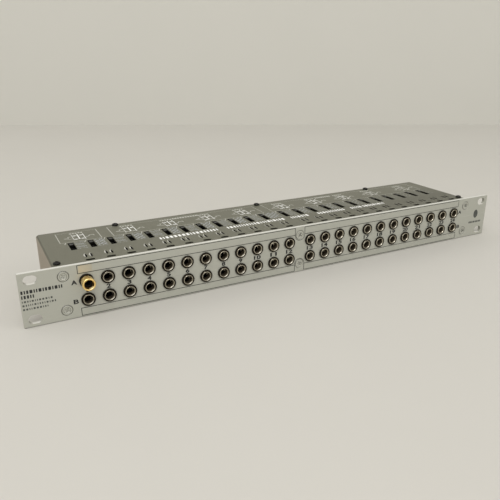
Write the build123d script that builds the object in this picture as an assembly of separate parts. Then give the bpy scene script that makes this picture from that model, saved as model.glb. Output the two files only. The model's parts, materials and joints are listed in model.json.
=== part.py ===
from build123d import *
import os

# Balanced audio patch bay, 19 inch, one rack unit, 24 columns of two rows.
# Millimetres. Origin: centre of the front panel's front face.
# +X to the right seen from the front, +Y to the rear, +Z up.

# ---- driving dimensions ----
PANEL_W, PANEL_H, PANEL_T = 482.6, 43.66, 3.0
EAR_X, EAR_Z = 232.55, 15.875
EAR_SLOT_L, EAR_SLOT_W = 10.0, 7.0
COLS_PER_SIDE = 12
PITCH, CENTRE_HALF = 16.5, 11.1     # column spacing; first column from the middle
ROW_Z = 7.9
NOSE_D, NOSE_OUT = 10.8, 1.5        # socket nose and how far it stands out
NOSE_HOLE_R = 11.0 / 2

SHEET = 1.2
BEND_R = 1.6
COVER_X, COVER_TOP = 215.6, 20.0
COVER_Y0, COVER_Y1 = 3.1, 92.2
COVER_FLANGE_Z = -17.6
COVER_UNDER = COVER_TOP - SHEET
TRAY_X, TRAY_BOT = 214.3, -20.0
TRAY_Y0, TRAY_Y1 = 3.0, 89.9
TRAY_TOP = COVER_UNDER - 0.05
REAR_Y0 = 90.0
REAR_Y1 = REAR_Y0 + SHEET
TAB_HALF_W = 6.0                    # middle tabs of cover and tray

SLOT_W, SLOT_L, SLOT_Y = 4.9, 18.8, 48.15   # switch slots in the cover

CARD_DX, CARD_T = 7.5, 1.6          # CARD_DX is from the column's centre
CARD_Y0, CARD_Y1 = 7.0, 87.2
CARD_Z0, CARD_Z1 = -18.2, 18.2
CARD_FOOT_YS = (20.0, 73.0)
CARD_FOOT_HALF_L = 3.8

PANEL_SCREW_X, PANEL_SCREW_Z = 209.2, 14.0
PANEL_SCREW_HOLE_R = 2.1
REAR_SCREW_X, REAR_SCREW_Z = 207.5, 11.5
SMALL_HOLE_R = 1.7                  # for cover and rear panel screws
# (x, y): the first two go into the tray lips, the rest into the rear panel's lip
COVER_SCREWS = [(-211.0, 12.8), (211.0, 12.8), (-146.3, 88.0), (2.0, 88.0), (143.6, 88.0)]
TRAY_COVER_SCREWS, REAR_COVER_SCREWS = COVER_SCREWS[:2], COVER_SCREWS[2:]

right_columns = [CENTRE_HALF + PITCH * i for i in range(COLS_PER_SIDE)]
columns = [-x for x in reversed(right_columns)] + right_columns
jack_places = [(x, z) for z in (ROW_Z, -ROW_Z) for x in columns]
panel_screw_places = [(x, z) for x in (-PANEL_SCREW_X, 0.0, PANEL_SCREW_X)
                      for z in (-PANEL_SCREW_Z, PANEL_SCREW_Z)]
rear_screw_places = [(side * REAR_SCREW_X, z) for side in (-1, 1)
                     for z in (-REAR_SCREW_Z, REAR_SCREW_Z)]

os.makedirs("parts", exist_ok=True)


# ---- helpers ----
def save(name, shapes):
    if not isinstance(shapes, (list, tuple)):
        shapes = [shapes]
    solids = [solid for shape in shapes for solid in shape.solids()]
    export_step(Compound(solids), f"parts/{name}.step")


def block(x0, x1, y0, y1, z0, z1):
    return Pos((x0 + x1) / 2, (y0 + y1) / 2, (z0 + z1) / 2) * Box(x1 - x0, y1 - y0, z1 - z0)


def rod_y(radius, y0, y1, x=0.0, z=0.0):
    return Pos(x, (y0 + y1) / 2, z) * Rot(90, 0, 0) * Cylinder(radius, y1 - y0)


def rod_z(radius, z0, z1, x=0.0, y=0.0):
    return Pos(x, y, (z0 + z1) / 2) * Cylinder(radius, z1 - z0)


def cone_y(radius0, radius1, y0, y1, x=0.0, z=0.0):
    # radius0 at y0 and radius1 at y1
    return Pos(x, (y0 + y1) / 2, z) * Rot(-90, 0, 0) * Cone(radius0, radius1, y1 - y0)


def turned_y(points):
    # a solid of revolution about Y from (radius, y) points
    return revolve(make_face(Polyline(*points, close=True)), Axis.Y, 360)


def at(shape, places):
    return [Pos(*place) * shape for place in places]


def at_xz(shape, places, y=0.0):
    return at(shape, [(x, y, z) for x, z in places])


def cut_all(base, tools):
    return base - Compound([solid for tool in tools for solid in tool.solids()])


def pan_screw(points, top, cross_depth):
    # a pan-head screw along Y, head towards +Y, with a cross cut into it
    long, narrow = 3.0, 0.75
    screw = turned_y(points)
    screw = screw - Pos(0, top, 0) * Box(long, cross_depth, narrow)
    return screw - Pos(0, top, 0) * Box(narrow, cross_depth, long)


# ---- front panel ----
PANEL_CORNER_R, PANEL_CHAMFER = 0.6, 0.2
SINK_R, SINK_DEPTH = 4.6, 2.5


def make_front_panel():
    outline = RectangleRounded(PANEL_W, PANEL_H, PANEL_CORNER_R)
    holes = Sketch() + [Pos(x, z) * Circle(NOSE_HOLE_R) for x in columns for z in (ROW_Z, -ROW_Z)]
    holes += [Pos(side * EAR_X, level * EAR_Z) * SlotOverall(EAR_SLOT_L, EAR_SLOT_W)
              for side in (-1, 1) for level in (-1, 1)]
    holes += [Pos(x, z) * Circle(PANEL_SCREW_HOLE_R) for x, z in panel_screw_places]
    plate = extrude(Plane.XZ * (outline - holes), PANEL_T, dir=(0, 1, 0))

    def on_front_rim(edge):
        centre = edge.center()
        return abs(centre.Y) < 1e-3 and (abs(abs(centre.X) - PANEL_W / 2) < 1e-3
                                         or abs(abs(centre.Z) - PANEL_H / 2) < 1e-3)

    rim = [edge for edge in plate.edges().filter_by(GeomType.LINE) if on_front_rim(edge)]
    plate = chamfer(rim, PANEL_CHAMFER)
    return cut_all(plate, [cone_y(SINK_R, PANEL_SCREW_HOLE_R, -0.001, SINK_DEPTH, x, z)
                           for x, z in panel_screw_places])


save("front_panel", make_front_panel())

# ---- countersunk cross-recess screws holding the panel ----
DISH_Y = 0.34                       # floor of the dish inside the head's broad outer land
RECESS_L, RECESS_W, RECESS_DEPTH = 3.7, 0.95, 1.8
RECESS_TURN = 20
PANEL_SCREW_TURNS = [8, 40, 63, 20, 75, 52]     # degrees, in the order of the places

screw = turned_y([
    (0, DISH_Y), (2.35, DISH_Y), (2.45, 0.04), (3.95, 0.04), (4.08, 0.17),
    (1.95, 2.3), (1.5, 2.6), (1.5, 9.0), (1.2, 9.4), (0, 9.4)])
cross = Box(RECESS_L, RECESS_W, RECESS_DEPTH) + Box(RECESS_W, RECESS_L, RECESS_DEPTH)
screw = screw - Pos(0, DISH_Y, 0) * Rot(0, RECESS_TURN, 0) * Rot(90, 0, 0) * cross
save("panel_screws", [Pos(x, 0, z) * Rot(0, turn, 0) * screw
                      for (x, z), turn in zip(panel_screw_places, PANEL_SCREW_TURNS)])

# clinch nuts behind the panel flanges
nut = turned_y([(1.56, 4.3), (2.8, 4.3), (2.8, 6.6), (1.56, 6.6)])
save("panel_clinch_nuts", at_xz(nut, panel_screw_places))

# ---- top cover: folded sheet with side flanges ----
SLOT_CORNER_R = 0.35
WINDOW_DX, WINDOW_Y, WINDOW_L, WINDOW_W = 6.8, 11.45, 7.4, 3.3
SLIT_Y, SLIT_HALF_L, SLIT_HALF_W = 21.5, 4.8, 1.1
SLIT_DXS = (-2.25, 2.05)            # either side of the card
SLIT_SPLIT_X = -0.15                # open to the right of this, sloped to the left
SLOPE_R, SLOPE_L, SLOPE_DEPTH, SLOPE_TILT = 9.8, 12, 0.9, 43.0
RELIEF_X, RELIEF_Y, RELIEF_Z = 3.2, 3.0, 3.2
COVER_TAB_Y, COVER_TAB_BOT = COVER_Y0 - 0.05, 10.4


def make_slit():
    # a lens-shaped slit: its right part is cut through, its left part slopes down to the opening
    front, rear = (0, -SLIT_HALF_L), (0, SLIT_HALF_L)
    lens = make_face([ThreePointArc(front, (SLIT_HALF_W, 0), rear),
                      ThreePointArc(rear, (-SLIT_HALF_W, 0), front)])
    lens = extrude(Plane.XY.offset(COVER_UNDER - 0.5) * lens, SHEET + 1)
    opening = lens & block(SLIT_SPLIT_X, 3, -6, 6, 10, 30)
    slope = (Pos(SLIT_SPLIT_X, 0, COVER_TOP - SLOPE_DEPTH) * Rot(0, SLOPE_TILT, 0)
             * Pos(0, 0, SLOPE_R) * Rot(0, 90, 0) * Cylinder(SLOPE_R, SLOPE_L))
    slope = slope & block(-2.5, -0.1, -5.5, 5.5, COVER_UNDER + 0.2, COVER_TOP + 0.5)
    return opening + slope


def make_top_cover():
    inner_x = COVER_X - SHEET
    profile = Polyline(
        (-COVER_X, COVER_FLANGE_Z), (-COVER_X, COVER_TOP),
        (COVER_X, COVER_TOP), (COVER_X, COVER_FLANGE_Z),
        (inner_x, COVER_FLANGE_Z), (inner_x, COVER_UNDER),
        (-inner_x, COVER_UNDER), (-inner_x, COVER_FLANGE_Z), close=True)
    cover = extrude(make_face(Plane.XZ * profile), COVER_Y1 - COVER_Y0, dir=(0, 1, 0))
    cover = Pos(0, COVER_Y0, 0) * cover
    bends = [edge for edge in cover.edges().filter_by(Axis.Y)
             if abs(abs(edge.center().X) - COVER_X) < 1e-3 and edge.center().Z > 19]
    cover = fillet(bends, BEND_R)

    # switch slots, oval windows, screw holes
    cuts = Sketch()
    cuts += [Pos(x, SLOT_Y) * RectangleRounded(SLOT_W, SLOT_L, SLOT_CORNER_R) for x in columns]
    cuts += [Pos(x + WINDOW_DX, WINDOW_Y) * SlotOverall(WINDOW_L, WINDOW_W) for x in columns]
    cuts += [Pos(x, y) * Circle(SMALL_HOLE_R) for x, y in COVER_SCREWS]
    cover = cover - extrude(Plane.XY.offset(COVER_UNDER - 1) * cuts, SHEET + 2)
    cover = cut_all(cover, at(make_slit(), [(x + CARD_DX + dx, SLIT_Y, 0)
                                            for x in columns for dx in SLIT_DXS]))
    # corner reliefs at the rear ends of the bends
    for side in (-1, 1):
        cover = cover - Pos(side * COVER_X, COVER_Y1, COVER_TOP) * Box(RELIEF_X, RELIEF_Y, RELIEF_Z)
    # small front tab with a hole for the upper middle panel screw
    tab = block(-TAB_HALF_W, TAB_HALF_W, COVER_TAB_Y, COVER_TAB_Y + SHEET,
                COVER_TAB_BOT, COVER_UNDER + 0.1)
    tab = tab - rod_y(PANEL_SCREW_HOLE_R, 2, 6, 0, PANEL_SCREW_Z)
    return cover + tab


save("top_cover", make_top_cover())

# ---- cover screws: pan heads ----
PAN_SHANK_L, PAN_TOP = 4.4, 6.4
PAN_TURNS = [15, 50, 80, 33, 64]    # degrees, in the order of COVER_SCREWS

pan = Rot(90, 0, 0) * pan_screw([
    (0, 0), (1.45, 0), (1.45, PAN_SHANK_L), (2.85, PAN_SHANK_L), (2.85, 5.4),
    (2.55, 5.95), (1.9, 6.25), (1.0, PAN_TOP), (0, PAN_TOP)], PAN_TOP, 2.2)
save("cover_screws", [Pos(x, y, COVER_TOP - PAN_SHANK_L + 0.02) * Rot(0, 0, turn) * pan
                      for (x, y), turn in zip(COVER_SCREWS, PAN_TURNS)])

# ---- chassis tray: floor, side walls, lips ----
TOP_LIP_W, END_FLANGE_W = 8.5, 9.5
FRONT_LIP_TOP, TRAY_TAB_TOP = -16.6, -10.4
TRAY_PANEL_HOLE_R = 1.9
FOOT_SLOT_HALF_W, FOOT_SLOT_HALF_L = 0.95, 4.0


def make_tray():
    def side_block(side, width, y0, y1, z0, z1):
        # from the tray's outer side face inwards by width
        x0, x1 = sorted((side * TRAY_X, side * (TRAY_X - width)))
        return block(x0, x1, y0, y1, z0, z1)

    front_y, rear_y = TRAY_Y0 + SHEET, TRAY_Y1 - SHEET   # inner faces of the end flanges
    floor_top, lip_under = TRAY_BOT + SHEET, TRAY_TOP - SHEET
    tray = block(-TRAY_X, TRAY_X, TRAY_Y0, TRAY_Y1, TRAY_BOT, floor_top)
    for side in (-1, 1):
        # wall, top lip under the cover, front end flange, rear end flange
        tray += side_block(side, SHEET, TRAY_Y0, TRAY_Y1, TRAY_BOT, TRAY_TOP)
        tray += side_block(side, TOP_LIP_W, TRAY_Y0, TRAY_Y1, lip_under, TRAY_TOP)
        tray += side_block(side, END_FLANGE_W, TRAY_Y0, front_y, TRAY_BOT, TRAY_TOP)
        tray += side_block(side, END_FLANGE_W, rear_y, TRAY_Y1, TRAY_BOT, TRAY_TOP)
    # lip along the front and its middle tab
    tray += block(-TRAY_X, TRAY_X, TRAY_Y0, front_y, TRAY_BOT, FRONT_LIP_TOP)
    tray += block(-TAB_HALF_W, TAB_HALF_W, TRAY_Y0, front_y, TRAY_BOT, TRAY_TAB_TOP)
    bends = [edge for edge in tray.edges().filter_by(Axis.Y)
             if abs(abs(edge.center().X) - TRAY_X) < 1e-3
             and abs(edge.center().Z - TRAY_BOT) < 1e-3 and edge.length > 50]
    tray = fillet(bends, BEND_R)

    # the upper middle panel screw goes through the cover's tab instead
    cutters = [rod_y(TRAY_PANEL_HOLE_R, TRAY_Y0 - 1, front_y + 1, x, z)
               for x, z in panel_screw_places if not (x == 0 and z > 0)]
    cutters += [rod_y(SMALL_HOLE_R, rear_y - 1, TRAY_Y1 + 1, x, z) for x, z in rear_screw_places]
    cutters += [rod_z(SMALL_HOLE_R, lip_under - 1, TRAY_TOP + 1, x, y)
                for x, y in TRAY_COVER_SCREWS]
    # floor slots for the cards' feet
    foot_slot = block(-FOOT_SLOT_HALF_W, FOOT_SLOT_HALF_W, -FOOT_SLOT_HALF_L, FOOT_SLOT_HALF_L,
                      TRAY_BOT - 1, floor_top + 1)
    cutters += at(foot_slot, [(x + CARD_DX, y, 0) for x in columns for y in CARD_FOOT_YS])
    return cut_all(tray, cutters)


save("chassis_tray", make_tray())

# ---- rear panel: plate with a top lip and 48 holes ----
REAR_CORNER_R = 0.5
REAR_LIP_HALF_W, REAR_LIP_L, REAR_LIP_OVERLAP = 200, 6.2, 0.6
REAR_SHANK_L, REAR_SCREW_TOP = 5.0, 7.0
REAR_NUT_L = 2.0


def make_rear_panel():
    outline = RectangleRounded(2 * TRAY_X, TRAY_TOP - TRAY_BOT, REAR_CORNER_R)
    outline = Pos(0, (TRAY_BOT + TRAY_TOP) / 2) * outline
    holes = Sketch() + [Pos(x, z) * Circle(NOSE_HOLE_R) for x in columns for z in (ROW_Z, -ROW_Z)]
    holes += [Pos(x, z) * Circle(SMALL_HOLE_R) for x, z in rear_screw_places]
    rear = Pos(0, REAR_Y0, 0) * extrude(Plane.XZ * (outline - holes), SHEET, dir=(0, 1, 0))
    rear += block(-REAR_LIP_HALF_W, REAR_LIP_HALF_W, REAR_Y0 - REAR_LIP_L,
                  REAR_Y0 + REAR_LIP_OVERLAP, TRAY_TOP - SHEET, TRAY_TOP)
    return cut_all(rear, [rod_z(SMALL_HOLE_R, TRAY_TOP - SHEET - 1, TRAY_TOP + 1, x, y)
                          for x, y in REAR_COVER_SCREWS])


save("rear_panel", make_rear_panel())
rear_screw = pan_screw([
    (0, 0), (1.45, 0), (1.45, REAR_SHANK_L), (2.8, REAR_SHANK_L), (2.8, 6.0),
    (2.5, 6.6), (1.8, 6.9), (0, REAR_SCREW_TOP)], REAR_SCREW_TOP, 2.0)
save("rear_panel_screws", at_xz(rear_screw, rear_screw_places, REAR_Y1 - REAR_SHANK_L))
rear_nut = turned_y([(1.5, 0), (2.7, 0), (2.7, REAR_NUT_L), (1.5, REAR_NUT_L)])
save("rear_clinch_nuts",
     at_xz(rear_nut, rear_screw_places, TRAY_Y1 - SHEET - REAR_NUT_L - 0.05))

# ---- sockets, drawn with the panel's outer face at y = 0 ----
BODY_X0, BODY_X1 = -7.0, 6.6
BODY_H, BODY_L = 14.4, 28.4
FRONT_BODY_Y0, REAR_BODY_Y0 = 4.5, 1.6      # where the square part starts
NOSE_CHAMFER = 0.35
CAVITY_HALF_W, CAVITY_HALF_H, CAVITY_Y0 = 4.4, 5.7, 6.4
BACK_WALL = 1.6
FERRULE_R, FERRULE_BORE_R = 8.6 / 2, 6.5 / 2
FERRULE_Y0, FERRULE_Y1 = -1.35, 4.2
FERRULE_SEAT_R = FERRULE_R + 0.02
TONGUE_T, TONGUE_W = 0.4, 2.8
SPRING_T, SPRING_W, SPRING_Z = 0.35, 2.2, 5.0
SPRING_DIP, SPRING_DIP_PUSHED = 2.3, 3.35   # contact's distance from the socket's axis
FRONT_TIP_Y, FRONT_RING_Y = 25.5, 19.5
REAR_TIP_Y, REAR_RING_Y = 23.0, 17.0


def make_body(y0):
    # moulded body with a round nose, hollow inside for the plug and the springs
    back, nose_r = y0 + BODY_L, NOSE_D / 2
    body = block(BODY_X0, BODY_X1, y0, back, -BODY_H / 2, BODY_H / 2)
    body = body + turned_y([
        (0, -NOSE_OUT), (nose_r - NOSE_CHAMFER, -NOSE_OUT), (nose_r, -NOSE_OUT + NOSE_CHAMFER),
        (nose_r, y0 + 0.5), (0, y0 + 0.5)])
    body = body - block(-CAVITY_HALF_W, CAVITY_HALF_W, CAVITY_Y0, back - BACK_WALL,
                        -CAVITY_HALF_H, CAVITY_HALF_H)
    body = body - rod_y(FERRULE_SEAT_R, -NOSE_OUT - 1, CAVITY_Y0 + 0.1)
    body = body - cone_y(FERRULE_SEAT_R + 0.3, FERRULE_SEAT_R, -NOSE_OUT - 0.001, -NOSE_OUT + 0.3)
    # the springs' tails leave through two slots in the back wall
    for z in (-SPRING_Z, SPRING_Z):
        body = body - block(-1.3, 1.3, back - 3, back + 1, z - 0.45, z + 0.45)
    return body


def make_tongue(line):
    # a leaf along (x, y) points, width along Z
    low = [(x - TONGUE_T / 2, y) for x, y in line]
    high = [(x + TONGUE_T / 2, y) for x, y in line]
    face = make_face(Polyline(*low, *high[::-1], close=True))
    return extrude(face, TONGUE_W / 2, dir=(0, 0, 1), both=True)


def make_ferrule(pushed=False):
    # lined mouth with a tongue on the card side, rolled to a round bead;
    # a seated plug pushes the tongue straight
    ring = turned_y([
        (FERRULE_BORE_R + 0.32, FERRULE_Y0), (FERRULE_R - 0.2, FERRULE_Y0),
        (FERRULE_R, FERRULE_Y0 + 0.2), (FERRULE_R, FERRULE_Y1),
        (FERRULE_BORE_R, FERRULE_Y1), (FERRULE_BORE_R, FERRULE_Y0 + 0.5)])
    if pushed:
        return ring + make_tongue([(3.7, 3.0), (3.6, 4.3), (3.55, 10.0)])
    bead = (rod_z(0.85, -TONGUE_W / 2, TONGUE_W / 2, 3.42, 6.15)
            & block(2.0, 3.88, 5.0, 7.5, -2.0, 2.0))
    return ring + make_tongue([(3.7, 3.0), (3.7, 10.0)]) + bead


def make_spring(y0, contact_y, side, dip=SPRING_DIP):
    # a leaf through the back wall, dipping towards the plug's path, its free end turned away;
    # side is 1 above the axis and -1 below it
    back, half_t = y0 + BODY_L, SPRING_T / 2
    line = [(back + 1.8, SPRING_Z), (back - 3.2, SPRING_Z), (contact_y + 3.2, 4.3),
            (contact_y, dip + half_t), (contact_y - 2.2, dip + 1.05)]
    low = [(y, side * (z - half_t)) for y, z in line]
    high = [(y, side * (z + half_t)) for y, z in line]
    face = make_face(Plane.YZ * Polyline(*low, *high[::-1], close=True))
    return extrude(face, SPRING_W / 2, dir=(1, 0, 0), both=True)


# the first upper socket holds the adapter, so its contacts stand pushed clear of the plug
plugged, free = jack_places[:1], jack_places[1:]
ferrule = make_ferrule()
save("front_jack_bodies", at_xz(make_body(FRONT_BODY_Y0), jack_places))
save("front_jack_ferrules", at_xz(make_ferrule(True), plugged) + at_xz(ferrule, free))
for name, contact_y, side in (("tip", FRONT_TIP_Y, 1), ("ring", FRONT_RING_Y, -1)):
    pushed_spring = make_spring(FRONT_BODY_Y0, contact_y, side, SPRING_DIP_PUSHED)
    free_spring = make_spring(FRONT_BODY_Y0, contact_y, side)
    save(f"front_{name}_springs", at_xz(pushed_spring, plugged) + at_xz(free_spring, free))

# rear sockets: the same design turned end for end, noses through the rear panel
rear_jack_parts = {
    "jack_bodies": make_body(REAR_BODY_Y0),
    "jack_ferrules": ferrule,
    "tip_springs": make_spring(REAR_BODY_Y0, REAR_TIP_Y, 1),
    "ring_springs": make_spring(REAR_BODY_Y0, REAR_RING_Y, -1),
}
for name, shape in rear_jack_parts.items():
    # half a turn about Z, then mirrored so that the card side stays on +X
    turned = mirror(Rot(0, 0, 180) * shape, Plane.YZ)
    save(f"rear_{name}", at_xz(turned, jack_places, REAR_Y1))

# ---- circuit cards, one per column, standing on edge ----
NOTCH_Z0, NOTCH_Z1 = 14.0, 20.0
FRONT_NOTCH_L, REAR_NOTCH_Y = 4.0, 81.0

card = block(-CARD_T / 2, CARD_T / 2, CARD_Y0, CARD_Y1, CARD_Z0, CARD_Z1)
for y in CARD_FOOT_YS:
    card = card + block(-CARD_T / 2, CARD_T / 2, y - CARD_FOOT_HALF_L, y + CARD_FOOT_HALF_L,
                        TRAY_BOT + 0.2, CARD_Z0 + 1)
# notches in the upper front and upper rear corners
card = card - block(-3, 3, CARD_Y0 - 1, CARD_Y0 + FRONT_NOTCH_L, NOTCH_Z0, NOTCH_Z1)
card = card - block(-3, 3, REAR_NOTCH_Y, CARD_Y1 + 1, NOTCH_Z0, NOTCH_Z1)
save("circuit_cards", at(card, [(x + CARD_DX, 0, 0) for x in columns]))

# ---- slide switches ----
KNOB_W, KNOB_L = 3.5, 4.8
KNOB_TRAVEL = 9.5
KNOB_Y = SLOT_Y + KNOB_TRAVEL / 2   # every knob stands at the rear end of its travel
KNOB_TOP = COVER_TOP + 0.4
KNOB_FILLET = 0.45
HOUSING_X0, HOUSING_X1 = -3.6, 4.4
HOUSING_Z0, HOUSING_Z1 = 9.0, COVER_UNDER - 0.4
HOUSING_HALF_L = 10.0
HOLLOW_HALF_W, HOLLOW_HALF_L = 2.9, 8.8
TERMINAL_DYS, TERMINAL_Z = (-7.5, -2.5, 2.5, 7.5), 12.0
TERMINAL_HALF_W, TERMINAL_HALF_T = 0.4, 0.25

stroke = KNOB_L + KNOB_TRAVEL + 0.4
neck_half_w = KNOB_W / 2 + 0.15
housing = block(HOUSING_X0, HOUSING_X1, SLOT_Y - HOUSING_HALF_L, SLOT_Y + HOUSING_HALF_L,
                HOUSING_Z0, HOUSING_Z1)
housing = housing - block(-HOLLOW_HALF_W, HOLLOW_HALF_W, SLOT_Y - HOLLOW_HALF_L,
                          SLOT_Y + HOLLOW_HALF_L, HOUSING_Z0 + 1.0, HOUSING_Z1 - 1.2)
housing = housing - block(-neck_half_w, neck_half_w, SLOT_Y - stroke / 2, SLOT_Y + stroke / 2,
                          HOUSING_Z1 - 2, HOUSING_Z1 + 1)
save("switch_housings", at(housing, [(x, 0, 0) for x in columns]))

# terminals between housing and card
terminal = block(HOUSING_X1 + 0.02, CARD_DX - CARD_T / 2 - 0.02, -TERMINAL_HALF_W,
                 TERMINAL_HALF_W, TERMINAL_Z - TERMINAL_HALF_T, TERMINAL_Z + TERMINAL_HALF_T)
save("switch_terminals",
     at(terminal, [(x, SLOT_Y + dy, 0) for x in columns for dy in TERMINAL_DYS]))

# knob: cap above the cover, neck through the slots, slider foot inside the housing
knob = block(-KNOB_W / 2, KNOB_W / 2, -KNOB_L / 2, KNOB_L / 2, HOUSING_Z1 - 1.6, KNOB_TOP)
knob = fillet([edge for edge in knob.edges() if abs(edge.center().Z - KNOB_TOP) < 1e-3],
              KNOB_FILLET)
knob = knob + block(-2.7, 2.7, -KNOB_L / 2 - 0.6, KNOB_L / 2 + 0.6,
                    HOUSING_Z0 + 1.3, HOUSING_Z1 - 1.4)
for i, x in enumerate(columns):
    save(f"switch_knob_{i + 1:02d}", Pos(x, KNOB_Y, 0) * knob)

# ---- plug adapter in the first upper socket: 6.35 mm plug to 3.5 mm socket ----
ADAPTER_PLACE = Pos(columns[0], 0, ROW_Z)
SHAFT_R = 6.35 / 2
SHOULDER = -NOSE_OUT - 0.05
SLEEVE_END = SHOULDER + 17.6
MOUTH_Y, MOUTH_R, MOUTH_FLOOR = -10.2, 3.5, -5.4
PLUG_GAP, INSULATOR_L, RING_L = 0.03, 1.0, 3.9
PLUG_BORE_R = 1.0                   # through the insulators and the ring contact
RING_Y0 = SLEEVE_END + INSULATOR_L + 2 * PLUG_GAP
RING_Y1 = RING_Y0 + RING_L
TIP_Y0 = RING_Y1 + INSULATOR_L + 2 * PLUG_GAP


def make_adapter_shell():
    # the barrel swells a little from the shoulder to a rounded lip round a wide mouth
    core_end = (0, SHOULDER + 6.0)
    barrel_start, barrel_end = (4.72, SHOULDER - 0.22), (5.12, -9.35)
    lip_end, mouth_edge = (4.4, MOUTH_Y), (MOUTH_R + 0.1, -9.3)
    outline = [
        Polyline(core_end, (SHAFT_R, SHOULDER + 6.0), (SHAFT_R, SHOULDER + 0.6),
                 (3.5, SHOULDER), (4.5, SHOULDER), barrel_start),
        Spline(barrel_start, (4.9, -4.6), (5.06, -7.4), barrel_end,
               tangents=((0.02, -1), (0, -1))),
        ThreePointArc(barrel_end, (4.9, -9.96), lip_end),
        ThreePointArc(lip_end, (3.84, -9.97), mouth_edge),
        Polyline(mouth_edge, (MOUTH_R, MOUTH_FLOOR), (0, MOUTH_FLOOR), core_end),
    ]
    shell = revolve(make_face(outline), Axis.Y, 360)
    shell = shell + rod_y(SHAFT_R, SHOULDER + 5.0, SLEEVE_END)
    # stepped bore, narrowing from the mouth's floor to the sleeve's end
    shell = shell - rod_y(3.05, MOUTH_FLOOR - 1, -2.75)
    shell = shell - rod_y(2.3, MOUTH_FLOOR, SHOULDER + 8.0)
    return shell - rod_y(2.1, SHOULDER + 7.0, SLEEVE_END + 1)


def make_insulator(radius, y):
    end = y + INSULATOR_L
    return turned_y([(PLUG_BORE_R, y), (radius, y), (radius, end), (PLUG_BORE_R, end)])


save("adapter_shell", ADAPTER_PLACE * make_adapter_shell())
# insulating rings between sleeve, ring and tip
save("adapter_insulators", [ADAPTER_PLACE * make_insulator(3.05, SLEEVE_END + PLUG_GAP),
                            ADAPTER_PLACE * make_insulator(2.7, RING_Y1 + PLUG_GAP)])

# (radius, y) outlines of the other turned pieces
adapter_outlines = {
    "ring_contact": [
        (PLUG_BORE_R, RING_Y0), (SHAFT_R, RING_Y0), (SHAFT_R, RING_Y1 - 0.6),
        (2.7, RING_Y1), (PLUG_BORE_R, RING_Y1)],
    # waist and rounded cone, on a pin that runs back through the rings
    "tip": [
        (0, SLEEVE_END - 4.0), (0.95, SLEEVE_END - 4.0), (0.95, TIP_Y0), (2.6, TIP_Y0),
        (2.2, TIP_Y0 + 1.2), (2.25, TIP_Y0 + 1.8), (3.1, TIP_Y0 + 3.0), (3.1, TIP_Y0 + 3.6),
        (2.5, TIP_Y0 + 4.9), (1.4, TIP_Y0 + 6.2), (0.5, TIP_Y0 + 6.7), (0, TIP_Y0 + 6.7)],
    # moulded insert with the socket's bore and a flange that fills the mouth
    "socket_insert": [
        (1.85, -6.0), (3.42, -6.0), (3.42, -5.44), (3.0, -5.44), (3.0, -2.8), (1.85, -2.8)],
    # thin waisted spring contact
    "socket_contact": [
        (2.15, -2.6), (1.75, 2.4), (2.15, 5.9), (2.25, 5.9), (1.85, 2.4), (2.25, -2.6)],
}
for name, points in adapter_outlines.items():
    save(f"adapter_{name}", ADAPTER_PLACE * turned_y(points))
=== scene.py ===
"""A 19-inch rack patchbay: two rows of 24 sockets on a front panel, a sheet cover and a rear panel.

X runs to the right seen from the front, the front panel faces -Y and +Z is up. Layout is in
millimetres; Blender and the material masks work in metres.
"""
import bpy
import bmesh
import json
import math
import random
from mathutils import Matrix, Vector


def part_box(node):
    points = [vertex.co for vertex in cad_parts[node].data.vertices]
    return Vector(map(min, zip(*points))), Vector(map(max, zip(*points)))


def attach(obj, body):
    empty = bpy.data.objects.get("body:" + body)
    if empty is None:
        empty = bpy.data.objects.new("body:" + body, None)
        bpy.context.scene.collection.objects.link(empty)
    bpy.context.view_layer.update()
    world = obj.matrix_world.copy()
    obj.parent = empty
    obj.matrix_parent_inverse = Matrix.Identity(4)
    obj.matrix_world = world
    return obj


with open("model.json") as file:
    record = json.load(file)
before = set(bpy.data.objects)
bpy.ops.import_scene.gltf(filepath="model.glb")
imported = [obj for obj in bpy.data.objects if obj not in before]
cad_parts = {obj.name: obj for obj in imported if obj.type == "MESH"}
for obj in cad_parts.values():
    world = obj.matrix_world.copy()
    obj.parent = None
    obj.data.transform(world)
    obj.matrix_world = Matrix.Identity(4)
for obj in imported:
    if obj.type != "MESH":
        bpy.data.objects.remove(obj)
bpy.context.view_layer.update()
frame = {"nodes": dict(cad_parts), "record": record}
nodes = frame["nodes"]
rng = random.Random(7)

# ------------------------------------------------------------------ layout
MM = 0.001
X, Y, Z = 0, 1, 2
PITCH = 16.5            # between socket columns
CENTRE_HALF = 11.1      # from the middle to the nearest column
ROW_Z = 7.9             # socket rows above and below the middle
RIGHT_COLUMNS = [CENTRE_HALF + PITCH * i for i in range(12)]
COLUMNS = [-x for x in reversed(RIGHT_COLUMNS)] + RIGHT_COLUMNS
SCREW_X, SCREW_Z = 209.2, 14.0
panel_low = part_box("front_panel")[0]
FACE_Y = panel_low.y / MM                   # front face of the panel
COVER_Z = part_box("top_cover")[1].z / MM     # top of the cover
REAR_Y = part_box("rear_panel")[1].y / MM     # outer face of the rear panel


def srgb(*channels):
    """Linear RGBA from 8-bit sRGB channels."""
    def linear(c):
        c /= 255.0
        return c / 12.92 if c <= 0.04045 else ((c + 0.055) / 1.055) ** 2.4
    return (*map(linear, channels), 1.0)


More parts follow.
